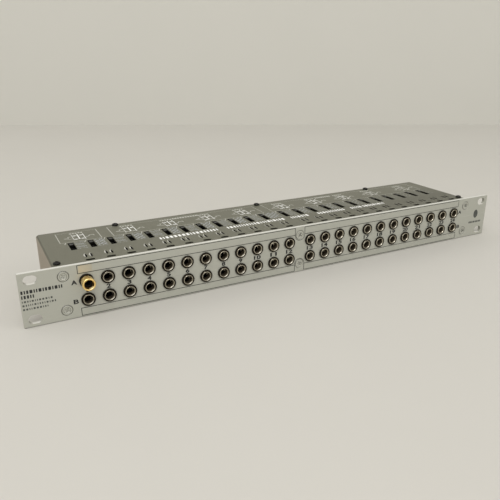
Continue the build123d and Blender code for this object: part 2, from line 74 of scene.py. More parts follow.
# ------------------------------------------------------------------ materials
class Shader:
    """A principled material layered from procedural masks in object coordinates (metres)."""

    def __init__(self, name, color, rough, metal=0.0, spec=0.5):
        self.material = bpy.data.materials.new(name)
        self.material.use_nodes = True
        self.material.diffuse_color = color
        self.tree = self.material.node_tree
        self.tree.nodes.clear()
        output = self.node("OutputMaterial")
        self.surface = self.node("BsdfPrincipled",
                                 {"Metallic": metal, "Specular IOR Level": spec})
        self.tree.links.new(self.surface.outputs[0], output.inputs[0])
        self.coords = self.node("TexCoord").outputs["Object"]
        self.color = self.node("RGB").outputs[0]
        self.color.default_value = color
        self.rough = self.node("Value").outputs[0]
        self.rough.default_value = rough
        self.normal = None

    def node(self, kind, inputs=None, **settings):
        """A new node; each input is either linked from a socket or set to a value."""
        made = self.tree.nodes.new("ShaderNode" + kind)
        for key, value in settings.items():
            setattr(made, key, value)
        for key, value in (inputs or {}).items():
            if isinstance(value, bpy.types.NodeSocket):
                self.tree.links.new(value, made.inputs[key])
            else:
                made.inputs[key].default_value = value
        return made

    def noise(self, scale, detail, rough, stretch=None, distort=0.0):
        coords = self.coords
        if stretch:
            coords = self.node("Mapping", {0: coords, "Scale": stretch}).outputs[0]
        return self.node("TexNoise", {"Scale": scale, "Detail": detail, "Roughness": rough,
                                      "Distortion": distort, "Vector": coords}).outputs[0]

    def ramp(self, value, start, end, low=0.0, high=1.0):
        """Maps start..end to low..high."""
        return self.node("MapRange", {0: value, 1: start, 2: end, 3: low, 4: high}).outputs[0]

    def calc(self, operation, first, second=0.0):
        return self.node("Math", {0: first, 1: second}, operation=operation).outputs[0]

    def product(self, first, *others):
        for other in others:
            first = self.calc("MULTIPLY", first, other)
        return first

    def mix(self, color, *factors):
        """Lays a colour over the current one by the product of the factors."""
        self.color = self.node("Mix", {0: self.product(*factors), 6: self.color, 7: color},
                               data_type="RGBA").outputs[2]

    def tint(self, value, low, high):
        """Multiplies the colour by a grey between low and high as value goes from 0 to 1."""
        grey = self.ramp(value, 0.0, 1.0, low, high)
        self.color = self.node("Mix", {0: 1.0, 6: self.color, 7: grey},
                               data_type="RGBA", blend_type="MULTIPLY").outputs[2]

    def roughen(self, value, low, high):
        self.rough = self.calc("ADD", self.rough, self.ramp(value, 0.0, 1.0, low, high))

    def bump(self, value, distance, strength):
        inputs = {"Strength": strength, "Distance": distance, "Height": value}
        if self.normal is not None:
            inputs["Normal"] = self.normal
        self.normal = self.node("Bump", inputs).outputs[0]

    def edge(self, radius):
        """1 on edges, 0 on flats."""
        bevel = self.node("Bevel", {"Radius": radius}, samples=4).outputs[0]
        normal = self.node("NewGeometry").outputs["Normal"]
        dot = self.node("VectorMath", {0: bevel, 1: normal}, operation="DOT_PRODUCT")
        turned = self.calc("SUBTRACT", 1.0, dot.outputs["Value"])
        return self.ramp(turned, start=0.0, end=1.0 / 6.0)

    def openness(self, distance):
        """1 in the open, towards 0 in corners."""
        return self.node("AmbientOcclusion", {"Distance": distance}, samples=4).outputs["AO"]

    def axis(self, i):
        return self.node("SeparateXYZ", {0: self.coords}).outputs[i]

    def from_middle(self, i):
        return self.calc("ABSOLUTE", self.axis(i))

    def facing(self, i, start, end, both=False):
        """The normal's component along one axis, mapped from start..end to 0..1."""
        normal = self.node("NewGeometry").outputs["True Normal"]
        part = self.node("SeparateXYZ", {0: normal}).outputs[i]
        if both:
            part = self.calc("ABSOLUTE", part)
        return self.ramp(part, start, end)

    def socket_offset(self):
        """X and Z offsets from the nearest socket's axis, both mirrored outwards."""
        x = self.calc("ADD", self.from_middle(X), (PITCH / 2 - CENTRE_HALF) * MM)
        x = self.calc("SUBTRACT", self.calc("FLOORED_MODULO", x, PITCH * MM), PITCH / 2 * MM)
        z = self.calc("SUBTRACT", self.from_middle(Z), ROW_Z * MM)
        return x, z

    def socket_radius(self):
        """Distance from the nearest socket's axis."""
        x, z = self.socket_offset()
        return self.calc("SQRT", self.calc("ADD", self.product(x, x), self.product(z, z)))

    def around_socket(self, x, z, start, end):
        """1 on the side of the socket's axis that faces (x, z); start and end are cosines."""
        offset_x, offset_z = self.socket_offset()
        offset_x = self.product(offset_x, self.calc("SIGN", self.axis(X)))
        offset_z = self.product(offset_z, self.calc("SIGN", self.axis(Z)))
        along = self.calc("ADD", self.product(offset_x, x), self.product(offset_z, z))
        return self.ramp(self.calc("DIVIDE", along, self.socket_radius()), start, end)

    def dull(self, mask):
        """Less metallic where the mask is 1."""
        metallic = self.surface.inputs["Metallic"]
        full = metallic.default_value
        self.tree.links.new(self.ramp(mask, 0.0, 1.0, low=full, high=0.0), metallic)

    def done(self):
        self.tree.links.new(self.color, self.surface.inputs["Base Color"])
        self.tree.links.new(self.rough, self.surface.inputs["Roughness"])
        if self.normal is not None:
            self.tree.links.new(self.normal, self.surface.inputs["Normal"])
        return self.material


def panel_material():
    mat = Shader("panel_anodised", srgb(179, 179, 168), rough=0.40, metal=0.25)
    grain = mat.noise(scale=5200, detail=3, rough=0.7)
    mat.tint(grain, low=0.90, high=1.10)
    mat.tint(mat.noise(scale=28, detail=5, rough=0.6), low=0.95, high=1.05)
    lines = mat.noise(scale=900, detail=2, rough=0.5, stretch=(0.02, 1.0, 1.0))
    mat.tint(lines, low=0.97, high=1.03)
    smudge = mat.noise(scale=60, detail=6, rough=0.65, distort=0.4)
    mat.roughen(mat.ramp(smudge, start=0.55, end=0.75), low=0.0, high=0.16)
    # painted shade: the panel is darker in its corners and recesses
    mat.mix(srgb(104, 100, 88), mat.ramp(mat.openness(0.0018), start=0.85, end=0.35), 0.45)
    scratch = mat.noise(scale=420, detail=2, rough=0.4, stretch=(0.05, 1, 1.6), distort=0.8)
    scratch = mat.ramp(scratch, start=0.735, end=0.76)
    mat.mix(srgb(222, 222, 214), scratch, 0.28)
    # painted highlight: the upward faces, the cut top edge among them, are lightened; painted
    # shade: the downward faces and the countersink cones are darkened, the cones more towards the
    # left
    mat.mix(srgb(230, 229, 223), mat.facing(Z, start=0.80, end=0.97), 0.95)
    mat.mix(srgb(96, 94, 82), mat.facing(Z, start=-0.45, end=-0.70), 0.6)
    mat.mix(srgb(110, 108, 96),
            mat.facing(Y, start=-0.85, end=-0.75),
            mat.facing(Y, start=-0.45, end=-0.60),
            mat.ramp(mat.from_middle(Z), start=0.0205, end=0.0200),
            mat.ramp(mat.from_middle(X), start=0.2400, end=0.2390),
            mat.ramp(mat.axis(X), start=-0.12, end=-0.02, low=0.30, high=0.12))
    mat.bump(grain, distance=0.00001, strength=0.5)
    mat.bump(scratch, distance=0.00001, strength=-0.3)
    return mat.done()


def cover_material():
    """Satin paint over folded sheet: fine orange-peel, dust specks, scratches, and painted light
    and shade on the walls, bends, openings and slit slopes.
    """
    light = srgb(165, 165, 152)
    mat = Shader("cover_paint", srgb(106, 105, 91), rough=0.42, spec=0.36)
    fine = mat.noise(scale=3600, detail=3, rough=0.6)
    mat.tint(fine, low=0.88, high=1.12)
    mat.tint(mat.noise(scale=22, detail=5, rough=0.6), low=0.94, high=1.06)
    dust = mat.noise(scale=1500, detail=2, rough=0.5)
    mat.mix(light, mat.ramp(dust, start=0.72, end=0.80), 0.35)
    rub = mat.noise(scale=45, detail=6, rough=0.7, stretch=(1, 0.35, 1), distort=0.6)
    mat.roughen(mat.ramp(rub, start=0.58, end=0.80), low=0.0, high=0.15)
    scratch = mat.noise(scale=300, detail=2, rough=0.4, stretch=(1.4, 0.06, 1), distort=0.9)
    mat.mix(light, mat.ramp(scratch, start=0.745, end=0.765), 0.25)
    # painted shade: the top of the cover darkens towards the front right
    front_right_shade = mat.product(mat.ramp(mat.axis(X), start=-0.03, end=0.16),
                          mat.ramp(mat.axis(Y), start=0.075, end=0.030),
                          mat.facing(Z, start=0.5, end=0.9))
    mat.tint(front_right_shade, low=1.0, high=0.74)
    # painted reflection: the outer side walls are lighter and warmer; painted shade: their bends
    # are darker
    outer = mat.ramp(mat.from_middle(X), start=0.2120, end=0.2136)
    mat.mix(srgb(146, 132, 112), mat.facing(X, start=0.80, end=0.99, both=True), outer, 0.85)
    mat.mix(srgb(66, 63, 50),
            mat.facing(X, start=0.04, end=0.25, both=True),
            mat.facing(X, start=0.85, end=0.60, both=True), outer, 0.6)
    # painted shade: the cut edges inside the openings are near-black; painted highlight: the
    # pressed slopes beside the slits are near-white, fading towards the right
    inner = mat.calc("SUBTRACT", 1.0, outer)
    mat.mix(srgb(22, 21, 16), mat.facing(Z, start=0.30, end=0.10, both=True), inner, 0.92)
    slope = mat.product(mat.facing(Z, start=0.35, end=0.45),
                        mat.facing(Z, start=0.985, end=0.95), inner)
    slit_band = mat.product(mat.ramp(mat.axis(Y), start=0.012, end=0.013),
                            mat.ramp(mat.axis(Y), start=0.030, end=0.029))
    mat.mix(srgb(252, 251, 244), slope, slit_band,
            mat.ramp(mat.axis(X), start=-0.02, end=0.11, low=0.95, high=0.1))
    mat.bump(mat.noise(scale=900, detail=2, rough=0.5), distance=0.00002, strength=0.35)
    mat.bump(fine, distance=0.000006, strength=0.4)
    return mat.done()


def plastic_material(name, color, rough, speck, spec, top=None, warm=0.0, rim=0.5):
    """speck is the amount of dust, warm tints the highlights, rim lightens the edges, top lightens
    the upward faces as a painted highlight.
    """
    mat = Shader(name, color, rough, spec=spec)
    mat.surface.inputs["Specular Tint"].default_value = (1, 1 - 0.3 * warm, 1 - 0.6 * warm, 1)
    fine = mat.noise(scale=4200, detail=2, rough=0.5)
    mat.tint(mat.noise(scale=160, detail=4, rough=0.6), low=0.8, high=1.25)
    mat.roughen(fine, low=-0.05, high=0.08)
    dust = mat.noise(scale=2600, detail=2, rough=0.5)
    mat.mix(srgb(120, 116, 104), mat.ramp(dust, start=0.70, end=0.78), speck)
    # painted highlight: the upward faces take the lighter top colour
    if top:
        mat.mix(top, mat.facing(Z, start=0.70, end=0.95), 0.95)
    mat.mix(srgb(84, 80, 72), mat.edge(0.00018), rim * spec)
    mat.bump(fine, distance=0.000006, strength=0.5)
    return mat.done()


def socket_shade_and_highlight(mat):
    # painted shade: past the lip the bore is painted dark brown and made non-metallic
    from_face, from_rear = (
        mat.calc("ABSOLUTE", mat.calc("SUBTRACT", mat.axis(Y), plane_y * MM))
        for plane_y in (FACE_Y, REAR_Y))
    depth = mat.calc("MINIMUM", from_face, from_rear)
    bore_shade = mat.product(mat.ramp(mat.socket_radius(), start=0.00345, end=0.00328),
                         mat.ramp(mat.axis(Y), start=-0.0012, end=-0.0004),
                         mat.ramp(depth, start=0.0043, end=0.0041))
    mat.mix(srgb(50, 39, 24), bore_shade, 0.92)
    # painted highlight: the front lip is painted bright and less metallic at its lower right,
    # weaker towards the right
    rub = mat.product(mat.ramp(mat.socket_radius(), start=0.00340, end=0.00355),
                      mat.ramp(mat.socket_radius(), start=0.00430, end=0.00415),
                      mat.ramp(mat.axis(Y), start=-0.0008, end=-0.0011),
                      mat.around_socket(x=0.50, z=-0.866, start=0.80, end=0.97),
                      mat.ramp(mat.axis(X), start=0.0, end=0.12, low=0.9, high=0.45))
    mat.mix(srgb(246, 241, 226), rub)
    mat.dull(mat.calc("MAXIMUM", bore_shade, mat.product(rub, 0.75)))


def cross_recess(mat):
    # painted highlight on the floors of the arms, painted shade on their roofs and sides
    mat.mix(srgb(244, 243, 238), mat.facing(Z, start=0.25, end=0.55),
            mat.ramp(mat.axis(X), start=-0.10, end=-0.02, low=0.9, high=0.1))
    mat.mix(srgb(50, 48, 41), mat.facing(Z, start=-0.25, end=-0.55), 0.9)
    mat.mix(srgb(58, 56, 49), mat.facing(X, start=0.45, end=0.80, both=True),
            mat.ramp(mat.axis(X), start=-0.10, end=-0.02, low=0.6, high=0.95))


def metal_material(name, color, rough, worn, dull, edge=0.5, metal=1.0, detail=None):
    """worn is the edge colour and edge its amount; detail adds masks of its own."""
    mat = Shader(name, color, rough, metal)
    fine = mat.noise(scale=3500, detail=3, rough=0.6)
    cloud = mat.noise(scale=700, detail=4, rough=0.6)
    mat.tint(cloud, low=0.86, high=1.10)
    mat.mix(dull, mat.ramp(cloud, start=0.58, end=0.72), 0.35)
    mat.roughen(fine, low=-0.04, high=0.10)
    mat.roughen(mat.ramp(cloud, start=0.5, end=0.75), low=0.0, high=0.12)
    mat.mix(worn, mat.edge(0.00012), edge)
    if detail:
        detail(mat)
    mat.bump(fine, distance=0.000003, strength=0.4)
    return mat.done()


def card_material():
    mat = Shader("card_laminate", srgb(40, 74, 44), rough=0.45)
    weave = mat.noise(scale=1800, detail=2, rough=0.5, stretch=(1, 1, 1))
    tracks = mat.noise(scale=220, detail=1, rough=0.3, stretch=(1, 0.25, 1.0))
    tracks = mat.ramp(tracks, start=0.56, end=0.60)
    mat.mix(srgb(70, 104, 58), tracks, 0.6)
    mat.tint(weave, low=0.9, high=1.1)
    mat.bump(tracks, distance=0.00003, strength=0.6)
    return mat.done()


def gold_material():
    mat = Shader("gold_plate", (0.97, 0.70, 0.28, 1.0), rough=0.18, metal=1.0)
    cloud = mat.noise(scale=380, detail=4, rough=0.6)
    turned = mat.noise(scale=2600, detail=2, rough=0.5, stretch=(0.15, 6.0, 0.15))
    mat.tint(cloud, low=0.88, high=1.08)
    mat.mix((0.62, 0.40, 0.15, 1.0), mat.ramp(cloud, start=0.56, end=0.72), 0.18)
    mat.roughen(turned, low=-0.03, high=0.10)
    mat.mix((1.0, 0.86, 0.56, 1.0), mat.edge(0.0002), 0.5)
    # the mouth's wall is satin
    inside = mat.product(mat.ramp(mat.socket_radius(), start=0.00375, end=0.00362),
                         mat.ramp(mat.axis(Y), start=-0.0050, end=-0.0056))
    mat.roughen(inside, low=0.0, high=0.10)
    mat.mix((0.98, 0.66, 0.24, 1.0), inside, 0.6)
    # painted highlight: the mouth's wall is painted bright and less metallic at its lower right
    rub = mat.product(mat.ramp(mat.socket_radius(), start=0.00425, end=0.00395),
                      mat.ramp(mat.axis(Y), start=-0.0072, end=-0.0084),
                      mat.around_socket(x=0.45, z=-0.893, start=0.82, end=0.96))
    mat.mix(srgb(255, 240, 190), rub, 0.9)
    mat.dull(mat.product(rub, 0.75))
    mat.bump(turned, distance=0.000006, strength=0.5)
    return mat.done()


def ink_material(name, color, rough, wear, under, fade=None):
    mat = Shader(name, color, rough)
    fine = mat.noise(scale=3800, detail=3, rough=0.6)
    mat.tint(fine, low=0.88, high=1.12)
    if fade:
        start, end, amount, faded = fade
        mat.mix(faded, mat.ramp(mat.axis(X), start, end), amount)
    patches = mat.noise(scale=900, detail=5, rough=0.7)
    mat.mix(under, mat.ramp(patches, start=0.60, end=0.72), wear)
    mat.roughen(fine, low=-0.05, high=0.08)
    mat.bump(fine, distance=0.000004, strength=0.4)
    return mat.done()


def paper_material():
    """Worn paper residue, yellow at its left end and greyer to the right."""
    mat = Shader("label_paper", srgb(190, 179, 153), rough=0.75, spec=0.3)
    fibre = mat.noise(scale=1400, detail=5, rough=0.7, stretch=(0.4, 1, 1.3))
    mat.tint(fibre, low=0.94, high=1.05)
    mat.mix(srgb(172, 168, 153), mat.ramp(mat.axis(X), start=-0.1965, end=-0.1868), 0.85)
    patches = mat.noise(scale=420, detail=5, rough=0.7)
    mat.mix(srgb(184, 182, 168), mat.ramp(patches, start=0.50, end=0.70), 0.55)
    mat.bump(fibre, distance=0.00002, strength=0.6)
    return mat.done()


def stage_material(name, color, rough, spec, *noises):
    """A plain surface with faint tints; each noise is (scale, detail)."""
    mat = Shader(name, color, rough, spec=spec)
    for scale, detail in noises:
        mat.tint(mat.noise(scale, detail, rough=0.6), low=0.985, high=1.015)
    return mat.done()


slot_materials = {
    "panel_aluminium": panel_material(),
    "cover_paint": cover_material(),
    "plated_screws": metal_material(
        "plated_screws", srgb(186, 184, 172), rough=0.38,
        worn=srgb(225, 223, 214), dull=srgb(140, 137, 125), edge=0.3),
    "black_screws": metal_material(
        "black_oxide", (0.035, 0.034, 0.032, 1), rough=0.24,
        worn=(0.22, 0.215, 0.20, 1), dull=(0.02, 0.02, 0.02, 1)),
    "zinc_steel": metal_material(
        "zinc_steel", srgb(196, 196, 192), rough=0.32,
        worn=srgb(230, 230, 226), dull=srgb(120, 120, 112)),
    "black_plastic": plastic_material(
        "black_plastic", (0.006, 0.0052, 0.0036, 1), rough=0.50, speck=0.05, spec=0.22,
        warm=0.8, rim=0.35),
    # the knob tops are lightened as a painted highlight
    "knob_plastic": plastic_material(
        "knob_plastic", (0.004, 0.004, 0.003, 1), rough=0.50, speck=0.04, spec=0.10,
        top=(0.066, 0.066, 0.060, 1)),
    "switch_plastic": plastic_material(
        "switch_plastic", (0.002, 0.002, 0.0015, 1), rough=0.75, speck=0.0, spec=0.04),
    "insulator_plastic": plastic_material(
        "insulator_plastic", (0.004, 0.003, 0.003, 1), rough=0.60, speck=0.02, spec=0.12),
    "nickel": metal_material(
        "nickel_plate", srgb(180, 173, 155), rough=0.20,
        worn=srgb(248, 246, 238), dull=srgb(120, 110, 90), edge=0.55, detail=socket_shade_and_highlight),
    "spring_bronze": metal_material(
        "phosphor_bronze", srgb(196, 152, 92), rough=0.28,
        worn=srgb(235, 205, 150), dull=srgb(120, 84, 48)),
    "card_laminate": card_material(),
    "gold_plate": gold_material(),
}
# pieces that differ from their slot: heads finished like the panel, and the adapter's socket
# contact painted dark as painted shade deep in its mouth
own_materials = {
    "panel_screws": metal_material(
        "satin_screws", srgb(188, 188, 177), rough=0.42, worn=srgb(214, 213, 204),
        dull=srgb(160, 158, 146), edge=0.2, metal=0.35, detail=cross_recess),
    "adapter_socket_contact": metal_material(
        "painted_shade_contact", srgb(60, 48, 32), rough=0.55,
        worn=srgb(80, 66, 44), dull=srgb(40, 32, 22), edge=0.1),
}
slot_of = {part["node"]: part["material_slot"] for part in frame["record"]["subparts"]}
for name, obj in nodes.items():
    obj.data.materials.clear()
    obj.data.materials.append(own_materials.get(name) or slot_materials[slot_of[name]])

# name: colour, roughness, wear, colour under the wear,
# and for some a fade to the right: start x, end x (metres), amount, faded colour
INKS = {
    "dark_ink": (srgb(26, 27, 26), 0.5, 0.10, srgb(150, 150, 140)),
    "soft_ink": (srgb(72, 74, 70), 0.5, 0.2, srgb(150, 150, 140)),
    "white_ink": (srgb(253, 253, 250), 0.5, 0.12, srgb(170, 167, 155)),
    "pale_ink": (srgb(240, 240, 236), 0.5, 0.15, srgb(150, 148, 136),
                 (0.06, 0.19, 0.6, srgb(160, 158, 146))),
    "faint_ink": (srgb(214, 220, 228), 0.5, 0.15, srgb(150, 148, 138),
                  (-0.02, 0.13, 0.85, srgb(112, 110, 98))),
    # painted shade round the panel screws' heads
    "ring_shade": (srgb(112, 111, 100), 0.5, 0.5, srgb(160, 158, 146),
                   (-0.12, -0.02, 0.75, srgb(166, 165, 153))),
    "lead_ink": (srgb(196, 196, 187), 0.5, 0.35, srgb(124, 122, 110)),
    "tick_ink": (srgb(196, 196, 188), 0.5, 0.3, srgb(124, 122, 110),
                 (0.02, 0.16, 0.8, srgb(120, 118, 106))),
    # painted highlight at the cover slits, fading into painted shade to the right
    "lip_highlight_ink": (srgb(186, 185, 175), 0.38, 0.3, srgb(140, 138, 124),
                 (-0.09, 0.11, 0.95, srgb(84, 82, 71))),
}
inks = {name: ink_material(name, *look) for name, look in INKS.items()}


# ------------------------------------------------------------------ printed shapes
def on_front(x, y, height):
    return x, FACE_Y - height, y


def on_rear(x, y, height):
    """x runs to the right as seen from behind."""
    return -x, REAR_Y + height, y


def on_cover(x, y, height):
    return x, y, COVER_Z + height


class Print:
    """Thin closed prisms on a surface; bottom and top are heights above it."""

    def __init__(self, place, bottom=-0.01, top=0.03):
        self.mesh, self.place = bmesh.new(), place
        self.bottom, self.top = bottom, top

    def _rings(self, points):
        """The same outline at the bottom and at the top."""
        return [[self.mesh.verts.new(Vector(self.place(x, y, height)) * MM) for x, y in points]
                for height in (self.bottom, self.top)]

    def poly(self, points):
        """A filled simple outline."""
        low, high = self._rings(points)
        self.mesh.faces.new(high)
        self.mesh.faces.new(low[::-1])
        for i in range(len(points)):
            j = (i + 1) % len(points)
            self.mesh.faces.new((low[i], low[j], high[j], high[i]))

    def bar(self, x0, x1, y0, y1, radius):
        """A rectangle with rounded corners."""
        points = []
        for x, y, start in ((x1 - radius, y0 + radius, -90), (x1 - radius, y1 - radius, 0),
                            (x0 + radius, y1 - radius, 90), (x0 + radius, y0 + radius, 180)):
            for k in range(5):
                angle = math.radians(start + 22.5 * k)
                points.append((x + radius * math.cos(angle), y + radius * math.sin(angle)))
        self.poly(points)

    def line(self, points, width, closed=False):
        """A mitred strip along a path."""
        count = len(points)
        left, right = [], []
        for i, point in enumerate(points):
            before = points[i - 1] if (i > 0 or closed) else None
            after = points[(i + 1) % count] if (i < count - 1 or closed) else None
            ways = []
            for start, end in ((before, point), (point, after)):
                if start is not None and end is not None:
                    dx, dy = end[0] - start[0], end[1] - start[1]
                    length = math.hypot(dx, dy)
                    ways.append((dx / length, dy / length))
            dx, dy = sum(way[0] for way in ways), sum(way[1] for way in ways)
            length = math.hypot(dx, dy) or 1.0
            dx, dy = dx / length, dy / length
            reach = (width / 2) / max(0.35, dx * ways[0][0] + dy * ways[0][1])
            left.append((point[0] - dy * reach, point[1] + dx * reach))
            right.append((point[0] + dy * reach, point[1] - dx * reach))
        left_low, left_high = self._rings(left)
        right_low, right_high = self._rings(right)
        add = self.mesh.faces.new
        for i in range(count if closed else count - 1):
            j = (i + 1) % count
            add((left_high[i], right_high[i], right_high[j], left_high[j]))
            add((left_low[j], right_low[j], right_low[i], left_low[i]))
            add((left_low[i], left_high[i], left_high[j], left_low[j]))
            add((right_low[j], right_high[j], right_high[i], right_low[i]))
        if not closed:
            add((left_low[0], right_low[0], right_high[0], left_high[0]))
            add((left_high[-1], right_high[-1], right_low[-1], left_low[-1]))

    def circle(self, x, y, radius, width):
        angles = [2 * math.pi * k / 36 for k in range(36)]
        self.line([(x + radius * math.cos(a), y + radius * math.sin(a)) for a in angles],
                  width, closed=True)

    def filler(self, x0, x1, y0, y1, widths, gap):
        """A row of plain bars of mixed widths, in place of wording."""
        x = x0
        while x < x1 - widths[0]:
            width = min(rng.choice(widths), x1 - x)
            self.bar(x, x + width, y0, y1, min(width, y1 - y0) * 0.2)
            x += width + gap

    def glyphs(self, body, x, y, height, width, bold=0.02):
        """Digits or a letter, centred on (x, y) and scaled to the given size."""
        curve = bpy.data.curves.new("glyph", "FONT")
        curve.body = body
        curve.offset = bold
        curve.resolution_u = 3
        curve.extrude = 0.5
        obj = bpy.data.objects.new("glyph", curve)
        bpy.context.scene.collection.objects.link(obj)
        depsgraph = bpy.context.evaluated_depsgraph_get()
        mesh = bpy.data.meshes.new_from_object(obj.evaluated_get(depsgraph))
        xs = [vert.co.x for vert in mesh.vertices]
        ys = [vert.co.y for vert in mesh.vertices]
        scale_x, scale_y = width / (max(xs) - min(xs)), height / (max(ys) - min(ys))
        mid_x, mid_y = (max(xs) + min(xs)) / 2, (max(ys) + min(ys)) / 2
        for vert in mesh.vertices:
            level = self.top if vert.co.z > 0 else self.bottom
            vert.co = Vector(self.place(x + (vert.co.x - mid_x) * scale_x,
                                        y + (vert.co.y - mid_y) * scale_y, level)) * MM
        welded = bmesh.new()
        welded.from_mesh(mesh)
        bmesh.ops.remove_doubles(welded, verts=welded.verts, dist=1e-8)
        welded.to_mesh(mesh)
        welded.free()
        self.mesh.from_mesh(mesh)
        bpy.data.objects.remove(obj)
        bpy.data.curves.remove(curve)
        bpy.data.meshes.remove(mesh)

    def numbers(self, side, height, widths, bold=0.02):
        """Column numbers; widths are for "1", other single digits and pairs."""
        for i, x in enumerate(COLUMNS):
            text = str(i + 1)
            width = widths[0 if text == "1" else len(text)]
            self.glyphs(text, side * x, -0.05, height, width, bold)

    def piece(self, name, material):
        bmesh.ops.recalc_face_normals(self.mesh, faces=self.mesh.faces)
        obj = mesh_object(name, self.mesh, material)
        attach(obj, "chassis")


def mesh_object(name, source, material):
    mesh = bpy.data.meshes.new(name)
    source.to_mesh(mesh)
    source.free()
    mesh.materials.append(material)
    obj = bpy.data.objects.new(name, mesh)
    bpy.context.scene.collection.objects.link(obj)
    return obj


def panel_print():
    """Label strips, half rings, column numbers, row letters and filler."""
    ink = Print(on_front)
    ring = 5.1    # half rings round the middle screws, where the strips start
    for side in (-1, 1):
        x0, x1 = sorted((side * ring, side * 198.6))
        for z0, z1 in ((14.4, 20.95), (-20.7, -14.5)):
            ink.line([(x0, z0), (x1, z0), (x1, z1), (x0, z1)], width=0.5, closed=True)
    angles = [math.radians(15 * k) for k in range(13)]
    for side in (-1, 1):
        ink.line([(ring * math.cos(a), side * (SCREW_Z - ring * math.sin(a))) for a in angles],
                 width=0.4)
    ink.numbers(side=1, height=3.6, widths=(1.9, 3.4, 6.9), bold=0.038)
    for side in (-1, 1):
        ink.glyphs("A", side * 201.9, 7.75, height=3.7, width=4.5, bold=0.042)
        ink.glyphs("B", side * 201.9, -8.25, height=3.7, width=4.0, bold=0.03)
    for x1, z0, z1 in ((-210.6, 5.6, 8.3), (-231.0, 1.8, 4.5)):
        ink.filler(-240.2, x1, z0, z1, widths=(0.9, 1.4, 2.0), gap=0.85)
    ink.piece("panel_print", inks["dark_ink"])


def panel_print_soft():
    """Small filler rows at the left, and an upright oval over a bar of filler at the right."""
    ink = Print(on_front)
    for x1, z0, z1 in ((-218.2, -1.3, 0.2), (-216.0, -4.35, -2.85), (-221.6, -7.45, -5.95)):
        ink.filler(-240.2, x1, z0, z1, widths=(0.6, 0.9, 1.4), gap=0.85)
    angles = [math.radians(12 * k) for k in range(30)]
    ink.poly([(226.6 + 3.1 * math.cos(a), 2.6 + 4.6 * math.sin(a)) for a in angles])
    ink.filler(217.6, 235.4, -7.3, -5.3, widths=(0.9, 1.4, 2.1), gap=0.5)
    ink.piece("panel_print_soft", inks["soft_ink"])


def screw_head_rings():
    # painted shade: thin dark rings in the gap round each screw head and at the step inside it
    ink = Print(on_front, bottom=-0.09, top=-0.015)
    for x in (-SCREW_X, 0.0, SCREW_X):
        for z in (-SCREW_Z, SCREW_Z):
            ink.circle(x, z, radius=3.85, width=0.26)
            ink.circle(x, z, radius=2.75, width=0.24)
    ink.piece("screw_head_rings", inks["ring_shade"])


def label_scrap():
    """A ragged scrap of paper in the upper left label strip."""
    vary = rng.uniform
    outline = [(-197.7 + 10.2 * k / 13 + vary(-0.1, 0.1), 14.8 + vary(-0.05, 0.12))
               for k in range(14)]
    outline += [(-187.2 + vary(-0.7, 0.5), 15.1 + 5.2 * k / 8) for k in range(9)]
    outline += [(-187.6 - 10.0 * k / 13 + vary(-0.1, 0.1), 20.6 + vary(-0.12, 0.05))
                for k in range(14)]
    outline += [(-197.8 + vary(-0.06, 0.08), 20.3 - 5.2 * k / 7) for k in range(8)]
    paper = Print(on_front, top=0.05)
    paper.poly(outline)
    paper.piece("label_scrap", paper_material())


def cover_print_blocks():
    ink = Print(on_cover)
    for x0, x1 in ((-121.7, -67.1), (-57.5, 4.2), (10.8, 31.3), (41.7, 75.0), (82.0, 94.6),
                   (97.5, 124.0)):
        ink.filler(x0, x1, 30.6, 35.8, widths=(1.0, 1.5, 2.3), gap=1.5)
    ink.piece("cover_print_blocks", inks["white_ink"])


# middles of the ten small connection diagrams on the cover
DIAGRAMS = [-183.0, -137.8, -99.5, -61.0, -23.0, 22.3, 62.5, 99.5, 137.5, 184.0]


def cover_print_diagrams():
    """Three upright lines, two cross lines and up to four pads in each diagram."""
    ink = Print(on_cover)
    rail = 4.9    # outer lines, either side of the middle
    for k, x in enumerate(DIAGRAMS):
        pick = random.Random(40 + k)
        ink.line([(x, 64.8), (x, 78.6)], width=1.05)
        for side in (-1, 1):
            y0, y1 = pick.choice([(62.6, 80.2), (63.4, 79.6), (62.6, 78.2)])
            ink.line([(x + side * rail, y0), (x + side * rail, y1)],
                     width=0.62 if side > 0 else 0.4)
        for y in (65.2, 75.0):
            end = pick.choice([rail, 0.0, rail])
            ink.line([(x - rail, y), (x + end, y)], width=0.48)
            for side in (-1, 1):
                if pick.random() < 0.85:
                    pad = x + side * 2.9
                    ink.bar(pad - 1.15, pad + 1.15, y - 1.05, y + 1.05, radius=0.3)
    ink.piece("cover_print_diagrams", inks["pale_ink"])


def cover_print_leads():
    """Leads and small bars at each diagram, and the frames round them."""
    ink = Print(on_cover, top=0.025)
    # line width, then points as offset from the diagram's middle and y
    leads = (
        (0.55, ((-12.5, 70.2), (-8.6, 70.2), (-8.6, 73.6), (-5.6, 73.6))),
        (0.45, ((-12.5, 70.2), (-8.6, 67.2), (-5.6, 67.2))),
        (0.7, ((5.6, 67.6), (8.4, 69.0), (9.6, 71.6), (12.8, 71.6), (13.4, 69.0))),
    )
    for middle in DIAGRAMS:
        for width, points in leads:
            ink.line([(middle + x, y) for x, y in points], width)
        for j in range(5):
            x = middle - 6.0 + 2.45 * j
            ink.bar(x, x + 1.7, 81.0, 83.2, radius=0.25)
    frames = ((-200.3, -165.2), (-154.8, -5.0), (5.4, 200.3))
    y0, y1 = 59.4, 85.6
    for i, x in enumerate(sum(frames, ())):
        ink.line([(x, y0), (x, y1)], width=0.55 if i < 3 else 0.4)
    for x0, x1 in ((-93.0, -66.5), (70.5, 90.8)):
        count = round((x1 - x0) / 2.7)
        for k in range(count):
            x = x0 + k * (x1 - x0) / count
            ink.bar(x, x + 2.0, 81.2, 84.0, radius=0.3)
    for x0, x1 in frames:
        ink.line([(x0, y0), (x1, y0)], width=0.3)
        ink.line([(x0, y1), (x1, y1)], width=0.22)
    ink.piece("cover_print_leads", inks["lead_ink"])


